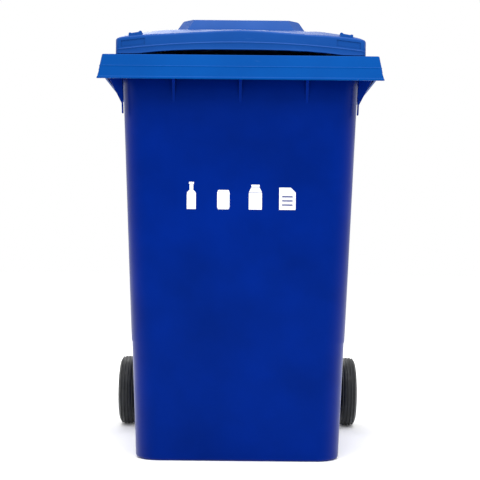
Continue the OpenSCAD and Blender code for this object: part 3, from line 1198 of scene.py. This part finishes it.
        def facing(place: Vector, normal: Vector) -> bool:
            """Passes the front's faces, with the rounded corners."""
            return normal.y < -0.05 and place.y < reach and place.z < self.front_top + 2

        def flat(place: Vector, normal: Vector) -> bool:
            """Passes what lies on the front's flat face."""
            return place.y < self.front + 2

        def upper_face(place: Vector, normal: Vector) -> bool:
            """Passes the face between the ridge and the top edge."""
            within = place.y < self.front + self.edge + 1 and abs(place.x) < self.half - self.corner + 1
            return within and place.z > self.ridge_z - 5 and place.z > self.ridge_line(place.x) + 4

        def finger_edge(place: Vector, normal: Vector) -> bool:
            """Passes the stretch of the lower edge and the lip that is arched."""
            return flat(place, normal) and place.z < lip + 0.5 and abs(place.x) < self.finger_half + 1

        def finger_arch(x: float) -> float:
            """How far the lower edge drops at a place across the lid: below 0, so it rises."""
            return -self.finger_h * max(0.0, 1 - abs(x / self.finger_half) ** 3.2)

        lid.slice(Axis.Z, (over, self.ridge_z, under, lip), facing)
        self.lower_rows(
            lid,
            0,
            lambda x: self.ridge_z - self.ridge_line(x),
            lambda p, n: p.y < reach and under - 1 < p.z < over + 1,
        )
        places = [v.co / MM for v in lid.obj.data.vertices]
        across = sorted({round(abs(p.x), 2) for p in places if flat(p, p)})
        for z in (over, under):
            for x in across:
                height = z - self.ridge_z + self.ridge_line(x)

                def beside_ridge(place: Vector, normal: Vector) -> bool:
                    """Passes the vertices of this row, left and right, at the ridge's height there."""
                    near = abs(place.z - height) < 0.3 and abs(abs(place.x) - x) < 0.01
                    return near and flat(place, normal)

                lid.move(beside_ridge, (0, self.crease, 0))
        lid.move(upper_face, (0, self.facet, 0))
        lid.move(lambda p, n: flat(p, n) and abs(p.z - lip) < 0.1, (0, self.crease, 0))
        self.lower_rows(lid, 0, finger_arch, finger_edge)

    def pocket(self) -> Piece:
        """The shape of the shallow sunk face at a front corner, between the ridge and the lug."""
        inner, outer = self.half - self.pocket_in, self.half - self.corner - 1
        outline = (
            (inner, self.ridge_line(inner) + 5),
            (inner, self.front_top - 21),
            (outer, self.front_top - 28),
            (outer, self.ridge_line(outer) + 5),
        )
        return Piece.plate("front_pocket", outline, Axis.Y, self.front - 5, self.front + self.pocket_depth)

    def ridge_line(self, x: float) -> float:
        """Height of the front ridge at a place across the lid."""
        return self.ridge_z - self.ridge_drop * (x / self.half) ** 2

    def arm(self) -> Piece:
        """One hinge arm, with the eye that turns on the pin."""
        y, z = self.handle.y, self.handle.z
        outline = arc((y, z), self.knuckle, -110, 110, 20)
        outline += [(self.rear - 2, self.low + 34), (self.rear - 2, self.low + 1)]
        arm = Piece.plate("lid_arm", outline, Axis.X, self.knuckle_in, self.knuckle_in + self.knuckle_w)
        bore = Piece.rod("knuckle_bore", self.bore, (self.knuckle_in - 5, y, z), self.knuckle_w + 10)
        return arm.soften(2).cut(bore)

    def corner_lug(self) -> Piece:
        """One small lug on a front corner, with raised ends."""
        inner, outer = (self.half - end for end in self.lug_ends)
        base = self.front_top - 18.5
        outline = (
            (inner, base + 3),
            (inner, self.front_top - 4),
            (inner + 3, self.front_top - 2.5),
            (inner + 6, self.front_top - 3),
            (inner + 8, self.front_top - 5.5),
            (outer - 7, self.front_top - 8.5),
            (outer - 4, self.front_top - 7),
            (outer, self.front_top - 8),
            (outer, base),
        )
        lug = Piece.plate("corner_lug", outline, Axis.Y, self.front + 6, self.front + 36)
        # its underside follows the lid's slope, so that it stays inside the wall
        lug.move(lambda p, n: p.z < base + 4 and p.y > self.front + 20, (0, 0, 7.5))
        return lug.soften(1.5)

    def build(self) -> None:
        """Models the lid as one shell with its arms and lugs, and dresses it."""
        lid = self.form()
        self.front_face(lid)
        lid.pick(Pick.FACES, lambda p, n: n.z < -0.9 and p.z < self.low + 20)
        bpy.ops.mesh.delete(type="FACE")
        lid.modify("SOLIDIFY", thickness=self.wall * MM, offset=-1, use_even_offset=True)
        hollow = self.pocket()
        lid.cut(hollow.mirrored("front_pocket_twin"))
        lid.cut(hollow)
        lug, arm = self.corner_lug(), self.arm()
        lug_twin, arm_twin = lug.mirrored("corner_lug_twin"), arm.mirrored("lid_arm_twin")
        lid.join(lug, lug_twin, arm, arm_twin)
        lid.place(LIT_LID_PLASTIC, Body.LID, "lid_plastic", "lid", smooth=22)
        self.buffers()

    def stop(self, box: Extent, y: float) -> Piece:
        """One rubber stop on the right, narrower at its foot.

        Args:
            box: The box that holds all the stops.
            y: Where the stop starts.

        Returns:
            The stop.
        """
        low = (box.high.x - self.stop_w, y, box.low.z)
        stop = Piece.block("lid_stops", low, (box.high.x, y + self.stop_l, box.high.z))
        stop.slice(Axis.Z, (box.low.z + 5,))
        foot = (box.high.x - self.stop_w / 2, y + self.stop_l / 2, box.low.z)
        stop.stretch(at(Axis.Z, box.low.z), (0.8, 0.9, 1), foot)
        return stop.soften(1.2, 2, 20)

    def buffers(self) -> None:
        """The rubber stops inside the lid's skirt."""
        box = Extent.of("lid_buffers")
        front, rear = (self.stop(box, y) for y in (box.low.y, box.high.y - self.stop_l))
        front.absorb(rear)
        front.absorb(front.mirrored("lid_stops_twin"))
        front.place(STOP_RUBBER, Body.LID, "stop_rubber", "lid_buffers")


# ---------------------------------------------------------------- pins and wheels


@dataclass
class HingePins:
    """The two headed pins that carry the lid."""

    handle: RearHandle
    radius: float = 8
    head_t: float = 4

    def build(self) -> None:
        """Models the right pin, mirrors it and dresses both."""
        box = Extent.of("hinge_pin_right")
        head = box.size.y / 2
        seat = box.high.x - self.head_t
        outline = (
            (box.low.x, 0),
            (box.low.x, self.radius - 1.5),
            (box.low.x + 2, self.radius),
            (seat, self.radius),
            (seat, head),
            (box.high.x - 1.2, head),
            (box.high.x, head - 1.2),
            (box.high.x, self.radius - 1),
            (box.high.x - 1.5, self.radius - 2.5),
            (box.high.x - 1.5, 0),
        )
        right = Piece.turned("hinge_pin_right_turned", outline, (self.handle.y, self.handle.z), 64)
        left = right.mirrored("hinge_pin_left_turned")
        right.place(BLACK_PLASTIC, Body.BIN, "pin_plastic", "hinge_pin_right")
        left.place(BLACK_PLASTIC, Body.BIN, "pin_plastic", "hinge_pin_left")


@dataclass
class Wheels:
    """Both wheels: tyre, hub and cap."""

    groove: float = 1.9
    barrel: float = 4.5
    rib_t: float = 5
    ribs: int = 8
    bore: float = 11.05
    boss: float = 24

    def __post_init__(self) -> None:
        """Takes the axle and the right wheel's places from the frame."""
        axle = Extent.of("axle").middle
        self.centre = (axle.y, axle.z)
        self.tyre_box = Extent.of("tyre_right")
        self.hub_box = Extent.of("hub_right")
        self.cap_box = Extent.of("hub_cap_right")
        self.radius = self.tyre_box.size.y / 2
        self.seat = self.hub_box.size.y / 2

    def tyre(self) -> Piece:
        """A solid tyre with a barrel tread and four grooves."""
        x0, x1 = self.tyre_box.low.x, self.tyre_box.high.x
        width = x1 - x0

        def tread(share: float) -> float:
            """The tread's radius at a share of its width."""
            return self.radius - self.barrel * (2 * share - 1) ** 2

        outline: list[Point] = [(x0 + 1.5, self.seat), (x0 + 0.6, self.seat + 3), (x0, self.seat + 9)]
        outline += [(x0 + 0.5, self.seat + 12), (x0 + 2.5, self.seat + 17)]
        for share in (0.2, 0.4, 0.6, 0.8):
            middle = x0 + share * width
            r = tread(share)
            outline += [(middle - 2.4, r - 0.2), (middle - 1.2, r - self.groove)]
            outline += [(middle + 1.2, r - self.groove), (middle + 2.4, r - 0.2)]
            if share < 0.8:
                outline.append((middle + 0.1 * width, tread(share + 0.1)))
        outline += [(x1 - 2.5, self.seat + 17), (x1 - 0.5, self.seat + 12)]
        outline += [(x1, self.seat + 9), (x1 - 0.6, self.seat + 3), (x1 - 1.5, self.seat)]
        return Piece.turned("tyre_right_turned", outline, self.centre, 128)

    def hub(self) -> Piece:
        """A boss and a rim joined by a web, with ribs on both sides."""
        x0, x1 = self.tyre_box.low.x, self.tyre_box.high.x
        box, seat = self.hub_box, self.seat
        web = (x0 + 20, x0 + 26)
        inner = seat - 8
        boss_end = x1 - 16
        outline = (
            (box.low.x, self.bore), (boss_end, self.bore),
            (boss_end, self.boss - 2), (boss_end - 2, self.boss),
            (web[1] + 2, self.boss), (web[1], self.boss + 2), (web[1], inner - 2), (web[1] + 2, inner),
            (box.high.x, inner + 1), (box.high.x, seat), (x0 + 3, seat), (x0 + 3, inner + 1),
            (web[0] - 2, inner), (web[0], inner - 2), (web[0], self.boss + 2), (web[0] - 2, self.boss),
            (box.low.x + 1, self.boss), (box.low.x, self.boss - 1),
        )
        hub = Piece.turned("hub_right_turned", outline, self.centre, 96)
        for i in range(self.ribs):
            angle = 2 * math.pi * i / self.ribs
            corners = []
            for r, t in ((self.boss - 2, -1), (inner + 3, -1), (inner + 3, 1), (self.boss - 2, 1)):
                side = t * self.rib_t / 2
                y = self.centre[0] + r * math.cos(angle) - side * math.sin(angle)
                corners.append((y, self.centre[1] + r * math.sin(angle) + side * math.cos(angle)))
            hub.join(Piece.plate("hub_rib", corners, Axis.X, x0 + 6, x0 + 32))
        return hub

    def cap(self) -> Piece:
        """A stepped cap with a skirt that clips into the hub."""
        x0, x1 = self.cap_box.low.x, self.cap_box.high.x
        r = self.cap_box.size.y / 2
        outline = (
            (x1 - 3, 0), (x1 - 3, r - 3), (x0, r - 3), (x0, r), (x1 - 1, r), (x1, r - 1.2),
            (x1, r - 9), (x1 - 1.6, r - 11), (x1 - 1.6, r * 0.46), (x1, r * 0.42), (x1, r * 0.3),
            (x1 - 0.8, r * 0.24), (x1 - 0.8, 0),
        )
        return Piece.turned("cap_right_turned", outline, self.centre, 96)

    def build(self) -> None:
        """Models the right wheel, mirrors it and dresses both."""
        for piece, node, finish, slot in (
            (self.tyre(), "tyre", TYRE_RUBBER, "tyre_rubber"),
            (self.hub(), "hub", BLACK_PLASTIC, "hub_plastic"),
            (self.cap(), "hub_cap", BLACK_PLASTIC, "cap_plastic"),
        ):
            twin = piece.mirrored(piece.obj.name.replace("right", "left"))
            piece.place(finish, Body.WHEEL_RIGHT, slot, f"{node}_right")
            twin.place(finish, Body.WHEEL_LEFT, slot, f"{node}_left")


# ---------------------------------------------------------------- carried-over nodes


def dress_frame(finishes: dict[str, Finish]) -> None:
    """Gives each node that is kept from the frame its finish.

    Args:
        finishes: Node name to finish.
    """
    for name, finish in finishes.items():
        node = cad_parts[name]
        if not node.material_slots:
            node.data.materials.append(None)
        for slot in node.material_slots:
            slot.material = finish.material()
        LOG.info("%s keeps its shape from the frame", name)


# ---------------------------------------------------------------- studio


@dataclass
class Studio:
    """Floor, lights and camera."""

    lens: float = 83.45
    eye: tuple[float, float, float] = (0.0025, -3.082, 0.518)
    pitch: float = 0.52
    roll: float = 0.55
    sensor: float = 36
    clip_end: float = 100
    floor_side: float = 40

    def floor(self) -> None:
        """A wide sheet of pale paper."""
        clear_selection()
        bpy.ops.mesh.primitive_grid_add(x_subdivisions=4, y_subdivisions=4, size=self.floor_side)
        floor = bpy.context.object
        floor.name = "studio_floor"
        floor.data.materials.append(PAPER.material())

    def light(
        self, name: str, place: Sequence[float], power: float, size: float, aim: Sequence[float]
    ) -> None:
        """Hangs one soft square light.

        Args:
            name: The light's name.
            place: Where it hangs, in metres.
            power: Its power, in watts.
            size: Its side, in metres.
            aim: The point that it faces.
        """
        clear_selection()
        bpy.ops.object.light_add(type="AREA", location=place)
        lamp = bpy.context.object
        lamp.name = name
        lamp.data.energy = power
        lamp.data.size = size
        lamp.rotation_euler = (Vector(aim) - Vector(place)).to_track_quat("-Z", "Y").to_euler()

    def build(self) -> None:
        """Sets up the studio."""
        scene = bpy.context.scene
        scene.view_settings.view_transform = "Standard"
        scene.world = scene.world or bpy.data.worlds.new("studio")
        scene.world.use_nodes = True
        tree = scene.world.node_tree
        tree.nodes.clear()
        sky = add_node(tree, "ShaderNodeBackground", {"Color": linear("#ffffff"), "Strength": 1.0})
        add_node(tree, "ShaderNodeOutputWorld", {"Surface": sky.outputs["Background"]})
        self.floor()
        self.light("top_light", (0.1, -1.5, 3.6), 120, 3.0, (0, -0.1, 0.7))
        self.light("back_light", (-0.6, 2.6, 2.8), 40, 2.0, (0, 0, 0.6))
        clear_selection()
        bpy.ops.object.camera_add(location=self.eye)
        camera = bpy.context.object
        camera.name = "studio_camera"
        turn = Matrix.Rotation(math.radians(90 + self.pitch), 4, "X")
        turn = turn @ Matrix.Rotation(math.radians(self.roll), 4, "Z")
        camera.rotation_euler = turn.to_euler()
        camera.data.lens = self.lens
        camera.data.sensor_width = self.sensor
        camera.data.clip_end = self.clip_end
        scene.camera = camera


# ---------------------------------------------------------------- the whole


def corners(box: tuple[Vector, Vector]) -> list[list[float]]:
    """A box, in metres, as plain lists of numbers."""
    return [list(map(float, corner)) for corner in box]


def main() -> None:
    """Builds the bin, piece by piece, and the studio round it."""
    logging.basicConfig(level=logging.INFO, format="%(name)s: %(message)s")
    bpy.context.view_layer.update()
    Studio().build()
    tub = Tub()
    tub.build()
    rim = CombRim(tub)
    rim.build()
    handle = RearHandle(tub)
    handle.build()
    AxleHousings(tub).build()
    Lid(rim, handle).build()
    HingePins(handle).build()
    Wheels().build()
    dress_frame(
        {
            "front_pictograms": FOIL,
            "axle": STEEL,
            "axle_washer_left": STEEL,
            "axle_washer_right": STEEL,
            "axle_clip_left": SPRING_STEEL,
            "axle_clip_right": SPRING_STEEL,
        }
    )


if __name__ == "__main__":
    main()
